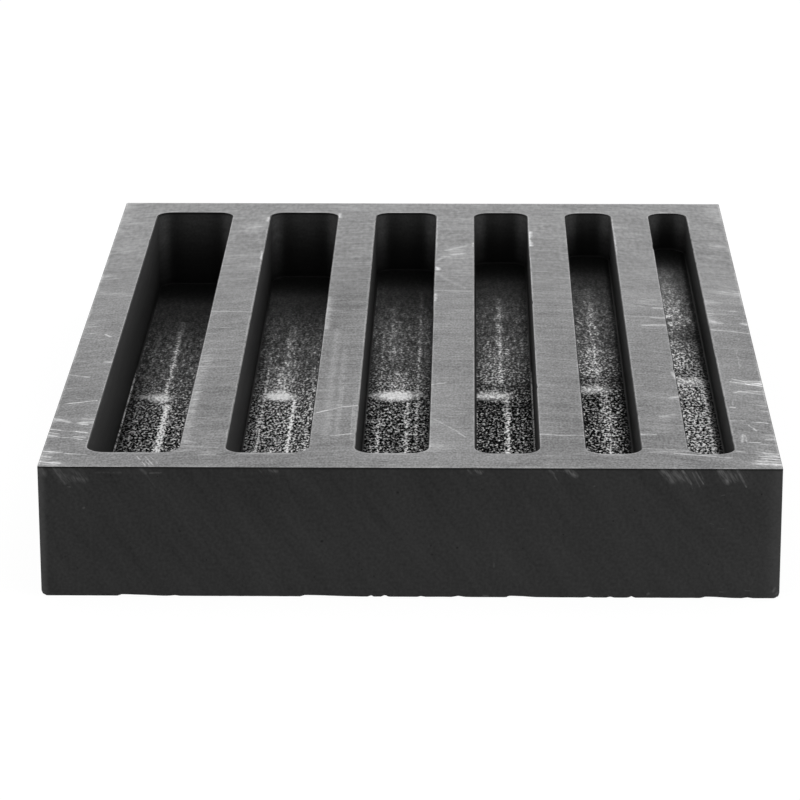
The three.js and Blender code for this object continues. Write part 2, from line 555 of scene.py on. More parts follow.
    def sink(self, slot: Slot, grid: np.ndarray) -> None:
        """Runs one slot's wall down from its rim and closes its floor.

        Each ring is the rim's outline moved inwards along the shortest way to the slot's middle
        box. The rim turns over in a quarter round, and the wall's foot runs out in another.

        Args:
            slot: the slot.
            grid: point numbers of the top grid over the slot, its border included.
        """
        ring = self.rim_of(grid)
        flat = np.concatenate(self.skin.points)[ring, :2]
        inner = (slot.width / 2 - self.cutter_radius, self.slot_length / 2 - self.cutter_radius)
        middle = np.array([slot.middle, 0.0])
        way = middle + np.clip(flat - middle, np.negative(inner), inner) - flat
        way /= np.linalg.norm(way, axis=1, keepdims=True)
        turn = np.radians([22.5, 45, 67.5, 90])
        wall = self.rim_break + (slot.width - self.foot_round - self.rim_break) * np.array(self.wall_rings)
        straight = np.full(len(wall), self.rim_break)
        foot = self.rim_break + self.foot_round * (1 - np.cos(turn))
        inset = np.concatenate([self.rim_break * np.sin(turn), straight, foot])
        floor = slot.width - self.foot_round * (1 - np.sin(turn))
        drop = np.concatenate([self.rim_break * (1 - np.cos(turn)), wall, floor])
        rings = self.rings(ring, way, inset, drop)
        self.skin.wrap(rings, Surface.SLOT_WALL, inward=True)
        self.floor(grid.shape, rings[-1])

    def floor(self, shape: tuple[int, int], ring: np.ndarray) -> None:
        """Closes a slot's floor with a grid: each row runs straight from wall to wall.

        Args:
            shape: rows and columns of the grid, border included.
            ring: the border's point numbers, anticlockwise from the front left corner.
        """
        rows, columns = shape
        ends = (columns - 1, columns + rows - 2, 2 * columns + rows - 3)
        front, right, back, left = np.split(ring, ends)
        numbers = np.zeros(shape, int)
        numbers[0, :-1], numbers[:-1, -1] = front, right
        numbers[-1, :0:-1], numbers[:0:-1, 0] = back, left
        points = np.concatenate(self.skin.points)
        west, east = points[numbers[1:-1, 0]], points[numbers[1:-1, -1]]
        share = graded(columns - 1)[1:-1]
        inside = west[:, None] * (1 - share)[:, None] + east[:, None] * share[:, None]
        numbers[1:-1, 1:-1] = self.skin.add(inside[..., 0], inside[..., 1], inside[..., 2])
        self.skin.sheet(numbers, Surface.SLOT_FLOOR)

    def outside(self, grid: np.ndarray) -> None:
        """Runs the block's outer wall down from the top's border and closes the underside.

        Each ring is the top's outline moved outwards: a quarter round at the top edge, the upright
        wall, and a quarter round at the lower edge.

        Args:
            grid: point numbers of the whole top grid.
        """
        ring = self.rim_of(grid)
        flat = np.concatenate(self.skin.points)[ring, :2]
        inner = (self.width / 2 - self.upright_round, self.length / 2 - self.upright_round)
        way = flat - np.clip(flat, np.negative(inner), inner)
        way /= np.linalg.norm(way, axis=1, keepdims=True)
        turn = np.radians([30, 60, 90])
        straight = np.full(len(self.side_rings) + 1, self.top_break)
        foot = self.top_break - self.lower_break * (1 - np.cos(turn))
        inset = np.concatenate([self.top_break * np.sin(turn), straight, foot])
        depths = np.array(self.side_rings) * self.height / self.side_rings_height
        wall = [*depths, self.height - self.lower_break]
        lowest = self.height - self.lower_break * (1 - np.sin(turn))
        drop = np.concatenate([self.top_break * (1 - np.cos(turn)), wall, lowest])
        rings = self.rings(ring, way, inset, drop)
        self.skin.wrap(rings, Surface.OUTSIDE, inward=False)
        self.skin.cap(rings[-1], Surface.OUTSIDE)

    def nicks(self) -> list[Nick]:
        """The chips: long shallow ones under the front edge, small ones at the corners and the rims."""
        front = -self.length / 2
        found = [
            Nick(x, front, 0.0, (reach, 0.7, 0.5), (0.0, 0.1, depth), tail)
            for x, reach, depth, tail in LOWER_CHIPS
        ]
        inwards, along = CORNER_CHIP_PUSH
        for side in (-1, 1):
            for end, depth in CORNER_CHIPS:
                corner = (side * self.width / 2, end * self.length / 2, 0.0)
                found.append(Nick(*corner, CORNER_CHIP_REACH, (-side * inwards, -end * along, depth)))
        for number, y, side in RIM_CHIPS:
            slot = self.slots[number]
            x = slot.left if side < 0 else slot.right
            push = (side * RIM_CHIP_PUSH, 0.0, -RIM_CHIP_DEPTH)
            found.append(Nick(x, y, self.height, RIM_CHIP_REACH, push))
        return found

    def worn(self, points: np.ndarray) -> np.ndarray:
        """Moves the points for the chips and a slight waver of the lower edge.

        Args:
            points: points in mm.

        Returns:
            The moved points.
        """
        moved = points.copy()
        for nick in self.nicks():
            moved += nick.shift(points)
        x, y, z = points.T
        edge = np.maximum(np.abs(x) - self.width / 2, np.abs(y) - self.length / 2)
        waver = np.clip(wander(x + y * WAVER_SIDE, WAVER_SEED, WAVER), 0.0, None)
        moved[:, 2] += waver * smooth(WAVER_RISE, 0.0, z) * smooth(*WAVER_EDGE, edge)
        return moved

    def rim_distance(self, points: np.ndarray) -> np.ndarray:
        """How far each point is from the nearest edge of the top, in mm.

        In plan, the distance to a rounded box is the length of what sticks out beyond its middle
        box, less the corner radius. With the depth under the top it makes a right triangle.

        Args:
            points: points in mm.

        Returns:
            The distance of each.
        """
        flat = points[:, :2]

        def plan(centre: float, half_x: float, half_y: float, radius: float) -> np.ndarray:
            """Signed distance in plan to one rounded box: negative inside it."""
            past = np.abs(flat - (centre, 0.0)) - (half_x - radius, half_y - radius)
            outside = np.linalg.norm(np.clip(past, 0, None), axis=1)
            return outside + np.clip(past.max(axis=1), None, 0) - radius

        nearest = np.abs(plan(0.0, self.width / 2, self.length / 2, self.upright_round))
        for slot in self.slots:
            rim = plan(slot.middle, slot.width / 2, self.slot_length / 2, self.cutter_radius)
            nearest = np.minimum(nearest, np.abs(rim))
        return np.hypot(nearest, self.height - points[:, 2])

    def wear_and_painted_light(self, points: np.ndarray) -> np.ndarray:
        """How much lighter each place is: rubbed wear, painted highlights and each floor's painted level.

        Rubbed places are on the top and under the front's top edge, where they lean to the right.
        Painted highlights run along the foot of two walls.

        Args:
            points: points in mm.

        Returns:
            A number per point, 0 where nothing is rubbed or painted.
        """
        x, y, z = points.T
        total = np.zeros(len(points))
        on_top = z > self.height - TOP_LAYER
        for cx, cy, rx, ry, strength in TOP_SPOTS:
            total += on_top * strength * bump_of(x, cx, rx) * bump_of(y, cy, ry)
        along = np.abs(y) < self.slot_length / 2 - FLOOR_INSET
        # Each slot's floor gets its own painted level, lighter or darker.
        for slot, level in zip(self.slots, FLOOR_LEVELS):
            across = (x > slot.left + FLOOR_INSET) & (x < slot.right - FLOOR_INSET)
            total += level * (across & (z < self.height - slot.width + FLOOR_LAYER) & along)
        # Painted highlights along the feet of two walls.
        for number, side, start, strength in FOOT_HIGHLIGHTS:
            slot = self.slots[number]
            foot = slot.left + FOOT_INSET if side < 0 else slot.right - FOOT_INSET
            low = np.abs(z - (self.height - slot.width + FOOT_RISE)) < FOOT_HALF
            band = low & along & (np.abs(x - foot) < FOOT_REACH)
            total += band * strength * smooth(start, start - FOOT_FADE, y)
        depth = self.height - z
        front = (y < -self.length / 2 + FRONT_LAYER) & (z < self.height - EDGE_SKIP)
        for cx, reach, deep, strength in FRONT_RUBS:
            leaning = bump_of(x - depth * RUB_LEAN, cx - RUB_SHIFT, reach)
            total += front * strength * leaning * smooth(deep, deep * 0.4, depth)
        return total

    def painted_floor_shades(self, points: np.ndarray) -> np.ndarray:
        """How much of each place's floor glint shows: painted light and shade on the floors.

        Each row of FLOOR_SHADES adds its amount, in full on one side of the slot and less and less
        towards the other, along its own stretch of the slot.

        Args:
            points: points in mm.

        Returns:
            A share per point, 1 where nothing is said of the floor.
        """
        x, y, _ = points.T
        total = np.ones(len(points))
        for number, full, none, start, end, amount in FLOOR_SHADES:
            slot = self.slots[number]
            across = (x - slot.left) / slot.width
            shade = (across > 0) & (across < 1)
            shade = shade * amount * smooth(none, full, across)
            shade = shade * smooth(start - SHADE_FADE, start + SHADE_FADE, y)
            total += shade * smooth(end + SHADE_FADE, end - SHADE_FADE, y)
        return np.maximum(total, LEAST_FLOOR_LIGHT)

    def painted_wall_shade(self, points: np.ndarray) -> np.ndarray:
        """Painted shade on the slots' walls: darker with the depth, and darkest at the foot of the back
        wall.

        The corners beside the back wall get painted light, and the rims the camera doesn't see painted
        shade.

        Args:
            points: points in mm.

        Returns:
            A factor per point.
        """
        x, y, z = points.T
        total = np.ones(len(points))
        marks, side, back = np.array(WALL_SHADES).T
        end = self.slot_length / 2
        at_back = smooth(end - BACK_FADE[0], end - BACK_FADE[1], y)
        above, below = CORNER_LIGHT
        place, reach, shade = CORNER_SHADE
        for number, slot in enumerate(self.slots):
            here = (x > slot.left - WALL_REACH) & (x < slot.right + WALL_REACH)
            depth = (self.height - z) / slot.width
            near = np.minimum(x - slot.left, slot.right - x)
            corner = 1 + smooth(*CORNER_REACH, near) * (above + below * smooth(*CORNER_DEPTHS, depth))
            corner -= shade * bump_of(near, place, reach)
            light = np.interp(depth, marks, side) * (1 - at_back)
            light += np.interp(depth, marks, back) * corner * at_back
            left_half = number < len(self.bar_widths) // 2
            hidden = x > slot.right - HIDDEN_REACH if left_half else x < slot.left + HIDDEN_REACH
            light = np.where(hidden & (depth < HIDDEN_DEPTH), HIDDEN_RIM, light)
            total = np.where(here, light, total)
        return total

    def painted_rim_highlight(self, points: np.ndarray) -> np.ndarray:
        """A painted highlight on each slot's broken rim, how brightly it catches the light.

        Args:
            points: points in mm.

        Returns:
            A share per point, 0 away from the rims.
        """
        x, y, z = points.T
        total = np.zeros(len(points))
        none, full = (self.slot_length / 2 - before for before in GLINT_ENDS)
        straight = (z > self.height - self.rim_break - 0.001) * smooth(none, full, np.abs(y))
        for slot, (left, right, first, last) in zip(self.slots, RIM_GLINTS):
            shine = smooth(first - GLINT_FADE, first + GLINT_FADE, y)
            shine = shine * smooth(last + GLINT_FADE, last - GLINT_FADE, y)
            total += straight * left * (np.abs(x - slot.left) < RIM_REACH)
            total += straight * right * (np.abs(x - slot.right) < RIM_REACH) * shine
        return total

    def clouds(self, points: np.ndarray) -> np.ndarray:
        """How much lighter or darker than the rest each broad area of the top is.

        Args:
            points: points in mm.

        Returns:
            A number per point, about 0.
        """
        x, y, _ = points.T
        return sum(amount * bump_of(x, cx, rx) * bump_of(y, cy, ry) for cx, cy, rx, ry, amount in TOP_CLOUDS)

    def build(self) -> bpy.types.Object:
        """Builds the block's mesh with its marks.

        Returns:
            The object, not yet dressed.
        """
        grid, columns = self.top()
        rim_end = self.slot_length / 2 + self.rim_break + 1e-9
        inside = np.flatnonzero(np.abs(self.rows()) <= rim_end)
        for number, slot in enumerate(self.slots):
            first, last = columns[2 * number + 1], columns[2 * number + 2]
            self.sink(slot, grid[inside[0] : inside[-1] + 1, first : last + 1])
        self.outside(grid)
        self.skin.tidy()
        plain, _, _ = self.skin.arrays()
        marks = {
            # Near the top's edges: a lighter band on the top, partly rubbed wear and partly painted
            # highlight, and painted shade just under the edge on the outer faces.
            "edge": np.exp(-((self.rim_distance(plain) / self.edge_glow) ** 2)),
            "wear_and_painted_light": self.wear_and_painted_light(plain),
            # Painted light and shade on the floors.
            "painted_floor_shade": self.painted_floor_shades(plain),
            # Painted shade on the slots' walls.
            "wall": self.painted_wall_shade(plain),
            # Painted highlights on the slots' rims.
            "glint": self.painted_rim_highlight(plain),
            "cloud": self.clouds(plain),
        }
        return self.skin.object("graphite_block", self.worn(plain), marks)


# Nodes


class Value:
    """What one node gives, with the plain signs for sums and products of numbers."""

    def __init__(self, tree: "Nodes", socket: bpy.types.NodeSocket) -> None:
        """Keeps a node's output and the tree it is in."""
        self.tree, self.socket = tree, socket

    def __add__(self, other: "Value | float") -> "Value":
        """This and another."""
        return self.tree.math("ADD", self, other)

    def __sub__(self, other: "Value | float") -> "Value":
        """This less another."""
        return self.tree.math("SUBTRACT", self, other)

    def __rsub__(self, other: float) -> "Value":
        """A plain number less this."""
        return self.tree.math("SUBTRACT", other, self)

    def __mul__(self, other: "Value | float") -> "Value":
        """This times another."""
        return self.tree.math("MULTIPLY", self, other)


Number = Value | float
Triple = tuple[float, float, float]


@dataclass(frozen=True)
class Stroke:
    """A straight mark from (x0, y0) to (x1, y1), its half width in mm and how light it is."""

    x0: float
    y0: float
    x1: float
    y1: float
    half: float
    light: float


def strokes(*rows: tuple[float, ...]) -> tuple[Stroke, ...]:
    """The strokes that the rows of a table stand for."""
    return tuple(Stroke(*row) for row in rows)


class Nodes:
    """A tree of nodes, with short calls for the kinds of node that the finishes use."""

    def __init__(self, tree: bpy.types.NodeTree) -> None:
        """Works in that tree."""
        self.nodes, self.links = tree.nodes, tree.links

    def put(self, socket: bpy.types.NodeSocket, value: Number | Triple) -> None:
        """Links a socket to what a node gives, or sets it to a plain value."""
        if isinstance(value, Value):
            self.links.new(value.socket, socket)
        else:
            socket.default_value = value

    def node(
        self, kind: str, inputs: dict[str | int, Number | Triple] | None = None, **settings: object
    ) -> bpy.types.Node:
        """Makes one node.

        Args:
            kind: the node's type.
            inputs: what its inputs get, by name or number.
            settings: its own settings.

        Returns:
            The node.
        """
        made = self.nodes.new(kind)
        for name, value in settings.items():
            setattr(made, name, value)
        for name, value in (inputs or {}).items():
            self.put(made.inputs[name], value)
        return made

    def math(self, kind: str, *numbers: Number, clamp: bool = False) -> Value:
        """A Math node of that kind on one or two numbers."""
        made = self.node("ShaderNodeMath", dict(enumerate(numbers)), operation=kind, use_clamp=clamp)
        return Value(self, made.outputs[0])

    def vector(self, kind: str, a: Value, b: Value | Triple = (0.0, 0.0, 0.0)) -> Value:
        """A Vector Math node of that kind on two vectors, or on one."""
        made = self.node("ShaderNodeVectorMath", {0: a, 1: b}, operation=kind)
        return Value(self, made.outputs["Value" if kind in ("DOT_PRODUCT", "LENGTH") else "Vector"])

    def scaled(self, vector: Value, scale: Number) -> Value:
        """A vector times one number."""
        made = self.node("ShaderNodeVectorMath", operation="SCALE")
        self.put(made.inputs[0], vector)
        self.put(made.inputs["Scale"], scale)
        return Value(self, made.outputs["Vector"])

    def split(self, vector: Value) -> list[Value]:
        """The three numbers of a vector."""
        return [Value(self, out) for out in self.node("ShaderNodeSeparateXYZ", {0: vector}).outputs]

    def join(self, x: Number, y: Number, z: Number) -> Value:
        """A vector from three numbers."""
        return Value(self, self.node("ShaderNodeCombineXYZ", {0: x, 1: y, 2: z}).outputs[0])

    def noise(self, place: Value, scale: float = 1.0, detail: float = 2.0, rough: float = 0.5) -> Value:
        """Smooth noise, about 0.5 on average."""
        inputs = {"Vector": place, "Scale": scale, "Detail": detail, "Roughness": rough}
        return Value(self, self.node("ShaderNodeTexNoise", inputs).outputs[0])

    def ease(self, value: Number, low: float, high: float, start: float = 0.0, end: float = 1.0) -> Value:
        """Eases from start at low to end at high."""
        inputs = {"Value": value, "From Min": low, "From Max": high, "To Min": start, "To Max": end}
        made = self.node("ShaderNodeMapRange", inputs, interpolation_type="SMOOTHSTEP")
        return Value(self, made.outputs[0])

    def blend(self, share: Number, a: Number, b: Number) -> Value:
        """A number that goes from a to b with share."""
        return Value(self, self.node("ShaderNodeMix", {0: share, 2: a, 3: b}).outputs[0])


class Sheet(Nodes):
    """The nodes of one material."""

    def __init__(self, name: str) -> None:
        """Starts a material with its shader and its coordinates in millimetres."""
        self.material = bpy.data.materials.new(name)
        self.material.use_nodes = True
        super().__init__(self.material.node_tree)
        self.shader = self.nodes["Principled BSDF"]
        place = Value(self, self.node("ShaderNodeTexCoord").outputs["Object"])
        self.mm = self.scaled(place, 1 / MM)

    def mottle(self, grains: Triple, detail: float = 2.0, rough: float = 0.5) -> Value:
        """Smooth noise with so many grains per mm along each axis."""
        return self.noise(self.vector("MULTIPLY", self.mm, grains), 1.0, detail, rough)

    def mark(self, name: str) -> Value:
        """A number kept per point of the mesh."""
        return Value(self, self.node("ShaderNodeAttribute", attribute_name=name).outputs["Fac"])

    def marks(self, place: Value, drawn: tuple[Stroke, ...]) -> Value:
        """The lightest of the strokes at a place.

        Args:
            place: the place in mm, with no height.
            drawn: the strokes.

        Returns:
            0 where there is none.
        """
        tree = bpy.data.node_groups.get(STROKE_GROUP) or stroke_group()
        total: Number = 0.0
        for line in drawn:
            inputs = {"Place": place, "From": (line.x0, line.y0, 0.0), "To": (line.x1, line.y1, 0.0)}
            inputs |= {"Half": line.half * STROKE_SPREAD, "Light": line.light}
            made = self.node("ShaderNodeGroup", inputs, node_tree=tree)
            total = self.math("MAXIMUM", Value(self, made.outputs["Mark"]), total)
        return total

    def finish(
        self,
        tone: Value,
        rough: Number,
        metal: Number,
        specular: float,
        relief: tuple[Value, float] | None = None,
        blue: float = 1.0,
    ) -> bpy.types.Material:
        """Sets the shader's sockets and returns the material.

        Args:
            tone: how light it is, the same in all colours but for blue.
            rough: roughness.
            metal: metallic share.
            specular: specular level, a plain number.
            relief: what the bump follows, and its depth in mm.
            blue: what blue is times the tone.

        Returns:
            The material.
        """
        colour = self.join(tone, tone, tone * blue if blue != 1.0 else tone)
        for name, value in (("Base Color", colour), ("Roughness", rough), ("Metallic", metal)):
            self.put(self.shader.inputs[name], value)
        self.shader.inputs["Specular IOR Level"].default_value = specular
        if relief:
            inputs = {"Strength": 1.0, "Distance": relief[1] * MM, "Height": relief[0]}
            bump = self.node("ShaderNodeBump", inputs)
            self.links.new(bump.outputs[0], self.shader.inputs["Normal"])
        return self.material


STROKE_GROUP = "one_stroke"
STROKE_SPREAD = 1.6


def stroke_group() -> bpy.types.ShaderNodeTree:
    """A node group that says how light one stroke makes a place.

    The distance from a point to the stretch from A to B is the length of the way from A less the
    share h of B - A, where h is that way's own share along B - A, kept from 0 to 1.

    Returns:
        The group: Place, From, To, Half and Light in, Mark out.
    """
    group = bpy.data.node_groups.new(STROKE_GROUP, "ShaderNodeTree")
    for label in ("Place", "From", "To"):
        group.interface.new_socket(label, in_out="INPUT", socket_type="NodeSocketVector")
    for label in ("Half", "Light"):
        group.interface.new_socket(label, in_out="INPUT", socket_type="NodeSocketFloat")
    group.interface.new_socket("Mark", in_out="OUTPUT", socket_type="NodeSocketFloat")
    tree = Nodes(group)
    outputs = tree.node("NodeGroupInput").outputs
    place, start, end, half, light = (Value(tree, socket) for socket in outputs[:5])
    way = tree.vector("SUBTRACT", place, start)
    whole = tree.vector("SUBTRACT", end, start)
    along, square = tree.vector("DOT_PRODUCT", way, whole), tree.vector("DOT_PRODUCT", whole, whole)
    share = tree.math("DIVIDE", along, square, clamp=True)
    off = tree.vector("SUBTRACT", way, tree.scaled(whole, share))
    near = tree.math("DIVIDE", tree.vector("LENGTH", off), half)
    mark = tree.math("SUBTRACT", 1.0, near, clamp=True) * light
    tree.put(tree.node("NodeGroupOutput").inputs["Mark"], mark)
    return group


# Strokes on the surfaces, each row with its two ends, half width and how light it is, in mm

# Scratches and rub marks on the top, from left to right, across and along.
TOP_STROKES = strokes(
    (-39.8, -6.2, -38.3, -5.7, 0.13, 0.55), (-37.1, -6.2, -36.5, -7.1, 0.16, 0.6),
    (-40.0, -7.5, -37.3, -8.3, 0.15, 0.3), (-36.2, -17.3, -35.4, -17.3, 0.2, 0.5),
    (-39.8, -22.3, -37.7, -23.2, 0.15, 0.35), (-38.0, -23.0, -37.6, -23.2, 0.2, 0.5),
    (-39.1, -33.1, -37.8, -32.7, 0.12, 0.9), (-37.8, -32.7, -35.8, -31.9, 0.12, 0.75),
    (-40.0, -38.6, -38.1, -39.8, 0.3, 0.45), (-37.1, -39.9, -35.5, -39.7, 0.18, 0.5),
    (-36.6, -38.5, -35.5, -38.7, 0.12, 0.5), (-37.0, -40.3, -36.0, -40.6, 0.2, 0.6),
    (-40.0, -42.3, -38.8, -42.6, 0.15, 0.8), (-38.8, -42.7, -36.8, -43.0, 0.12, 0.35),
    (-37.0, -43.0, -35.8, -43.5, 0.14, 0.9), (-40.0, -44.3, -39.0, -44.8, 0.15, 0.7),
    (-39.0, -44.9, -37.2, -45.3, 0.12, 0.45), (-37.0, -44.8, -35.8, -45.0, 0.12, 0.9),
    (-36.9, -45.5, -36.0, -45.8, 0.12, 0.7), (-40.0, -43.4, -38.9, -43.9, 0.12, 0.5),
    (-40.0, -49.8, -38.0, -50.3, 0.18, 0.5), (-37.5, -50.6, -35.3, -51.0, 0.16, 0.6),
    (-40.0, -51.4, -39.0, -51.8, 0.25, 0.4), (-40.0, -53.3, -37.8, -53.9, 0.25, 0.65),
    (-40.0, -54.1, -37.9, -54.4, 0.12, 0.5), (-39.2, 11.8, -35.6, 10.3, 0.5, 0.07),
    (-39.9, 31.2, -36.8, 30.8, 0.5, 0.07), (-25.0, -2.9, -22.3, -3.4, 0.14, 0.3),
    (-25.0, -18.7, -21.5, -18.8, 0.12, 0.25), (-25.0, 3.7, -20.3, 3.4, 0.16, 0.35),
    (-22.9, 42.5, -20.4, 45.0, 0.9, 0.08), (-22.9, 40.5, -21.8, 40.3, 0.8, 0.07),
    (-21.5, 40.0, -20.6, 32.0, 0.4, 0.06), (-20.4, 47.5, -20.35, 45.5, 0.25, 0.5),
    (-20.35, 31.0, -20.3, 27.0, 0.15, 0.5), (-21.2, 48.5, -20.6, 46.8, 0.4, 0.15),
    (-24.9, -20.0, -24.7, -46.0, 0.4, 0.09), (-24.8, -46.4, -23.5, -46.6, 0.12, 0.35),
    (-24.2, -48.2, -21.0, -48.4, 0.12, 0.3), (-22.9, -50.8, -21.1, -50.7, 0.13, 0.4),
    (-23.6, -38.0, -22.5, -38.1, 0.12, 0.3), (-29.6, -51.5, -28.4, -54.4, 0.06, 0.5),
    (-29.2, -51.4, -28.0, -54.3, 0.05, 0.45), (-28.7, -51.6, -27.6, -54.2, 0.06, 0.5),
    (-28.1, -51.5, -27.0, -54.1, 0.05, 0.4), (-9.45, -4.0, -9.4, -45.0, 0.42, 0.13),
    (-9.7, -14.0, -9.6, -30.0, 0.1, 0.15), (-9.2, -14.0, -9.15, -33.0, 0.08, 0.12),
    (-8.3, -12.0, -8.25, -45.0, 0.3, 0.12), (-8.05, -22.0, -8.0, -40.0, 0.08, 0.2),
    (-6.5, -29.0, -6.45, -45.5, 0.25, 0.12), (-6.7, -33.0, -6.65, -45.0, 0.08, 0.25),
    (-10.6, -36.0, -9.4, -35.1, 0.12, 0.9), (-9.4, -35.1, -8.0, -34.0, 0.12, 0.5),
    (-8.0, -34.0, -6.2, -33.4, 0.12, 0.75), (-8.8, -44.2, -6.7, -43.5, 0.14, 0.7),
    (-10.95, 49.5, -10.9, 47.5, 0.25, 0.5), (-11.0, 52.5, -9.0, 51.8, 0.8, 0.05),
    (-10.9, 10.0, -10.9, -4.0, 0.35, 0.13), (-10.7, 8.5, -9.8, 9.3, 0.4, 0.08),
    (-10.9, -2.0, -10.8, -3.5, 0.3, 0.3), (-10.9, 4.2, -9.0, 4.0, 0.15, 0.2),
    (-8.0, 4.6, -6.2, 4.8, 0.15, 0.25), (2.3, 26.8, 3.2, 28.4, 0.25, 0.3),
    (3.0, 28.6, 3.6, 28.4, 0.3, 0.3), (4.3, 29.5, 5.3, 29.8, 0.35, 0.4), (3.4, 31.5, 5.9, 33.6, 0.3, 0.3),
    (5.5, 33.4, 7.0, 34.8, 0.3, 0.15), (2.2, 23.5, 2.4, 22.5, 0.3, 0.8),
    (2.1, 20.8, 3.6, 17.9, 0.35, 0.15), (3.6, 17.9, 6.0, 14.0, 0.35, 0.13),
    (2.4, 13.0, 6.4, 12.8, 0.3, 0.22), (2.15, 11.5, 2.15, 8.5, 0.25, 0.5),
    (2.1, 47.0, 2.15, 30.0, 0.1, 0.25), (2.05, -25.5, 3.6, -25.0, 0.14, 0.55),
    (2.5, -38.4, 4.1, -40.8, 0.1, 0.3), (4.1, -40.8, 6.0, -44.6, 0.1, 0.35),
    (2.1, -47.2, 3.5, -47.4, 0.35, 0.15), (6.9, 35.0, 6.9, 33.5, 0.2, 0.4),
    (14.3, 40.5, 14.25, 38.5, 0.3, 0.7), (14.3, 35.2, 14.35, 33.8, 0.3, 0.8),
    (14.25, 38.5, 14.25, 35.2, 0.15, 0.6), (14.15, 28.0, 14.2, 10.0, 0.1, 0.25),
    (14.2, -43.4, 15.8, -43.6, 0.13, 0.6), (15.8, -43.8, 19.1, -43.8, 0.12, 0.55),
    (25.3, 47.0, 25.35, 30.0, 0.12, 0.3), (25.4, 6.9, 28.0, 6.0, 0.3, 0.15),
    (28.9, 5.6, 30.1, 5.4, 0.2, 0.5), (26.5, 2.0, 28.5, 1.8, 0.2, 0.25),
    (28.5, 1.7, 30.2, 1.2, 0.25, 0.45), (27.5, -1.7, 30.2, -1.7, 0.28, 0.5),
    (28.8, -5.0, 30.0, -5.0, 0.2, 0.15), (29.9, -20.5, 30.15, -22.8, 0.2, 0.4),
    (29.3, -30.2, 30.2, -29.8, 0.25, 0.5), (29.0, -33.0, 29.6, -32.9, 0.15, 0.35),
    (27.6, -36.9, 29.2, -36.4, 0.12, 0.4), (28.0, -37.3, 29.0, -37.2, 0.1, 0.35),
    (25.2, -43.3, 26.9, -43.4, 0.14, 0.6), (25.4, -48.2, 30.2, -48.8, 0.1, 0.4),
    (25.5, -49.5, 30.2, -49.2, 0.1, 0.4), (28.6, -49.8, 34.8, -51.3, 0.11, 0.7),
    (37.3, 35.0, 40.0, 33.8, 0.6, 0.06), (36.8, 13.0, 40.0, 11.4, 1.2, 0.06),
    (35.4, 8.8, 37.2, 7.8, 0.3, 0.15), (38.3, 4.3, 39.0, 4.1, 0.2, 0.35),
    (35.5, 3.2, 37.4, 2.8, 0.3, 0.15), (35.4, 0.0, 36.8, -0.8, 0.3, 0.35),
    (39.3, -1.0, 40.0, -1.5, 0.3, 0.5), (35.5, -3.5, 36.4, -3.9, 0.18, 0.6),
    (36.4, -3.9, 38.4, -4.5, 0.14, 0.75), (38.4, -4.5, 40.0, -5.2, 0.14, 0.45),
    (37.9, -11.0, 37.85, -19.0, 0.08, 0.2), (36.4, -24.1, 38.0, -25.1, 0.12, 0.7),
    (38.0, -25.0, 40.0, -25.9, 0.16, 1.0), (36.6, -23.1, 38.2, -24.3, 0.12, 0.6),
    (38.2, -24.1, 39.9, -24.3, 0.13, 0.6), (38.8, -24.8, 40.0, -25.1, 0.2, 0.8),
    (36.5, -28.3, 37.4, -27.7, 0.12, 0.6), (37.1, -27.7, 38.6, -28.3, 0.12, 0.6),
    (38.1, -27.6, 39.9, -28.0, 0.12, 0.6), (38.6, -28.6, 40.0, -28.9, 0.12, 0.5),
    (35.7, -33.7, 36.2, -33.8, 0.16, 0.8), (35.9, -33.6, 36.2, -31.5, 0.08, 0.35),
    (39.2, -34.9, 40.0, -35.2, 0.15, 0.5), (39.0, -32.9, 40.0, -33.2, 0.12, 0.35),
    (35.5, -38.3, 37.0, -38.6, 0.12, 0.45), (38.0, -39.0, 39.4, -39.4, 0.14, 0.6),
    (37.4, -40.0, 38.1, -42.0, 0.1, 0.6), (36.2, -46.0, 36.5, -43.3, 0.12, 0.4),
    (36.7, -45.8, 36.7, -43.6, 0.1, 0.4), (39.0, -43.6, 40.0, -43.9, 0.12, 0.5),
    (38.9, -44.9, 40.0, -45.1, 0.12, 0.55), (36.8, -46.0, 38.2, -46.1, 0.12, 0.6),
    (38.2, -46.6, 40.0, -46.9, 0.1, 0.4), (35.4, -49.1, 36.3, -49.3, 0.15, 0.5),
    (38.2, -49.6, 40.0, -50.1, 0.12, 0.7), (37.8, -50.6, 40.0, -51.0, 0.12, 0.6),
    (38.0, -51.4, 40.0, -51.9, 0.14, 0.7), (37.2, -52.2, 40.0, -52.8, 0.12, 0.7),
    (37.0, -53.2, 40.0, -53.6, 0.14, 0.8), (38.4, -52.0, 39.4, -53.9, 0.1, 0.4),
)

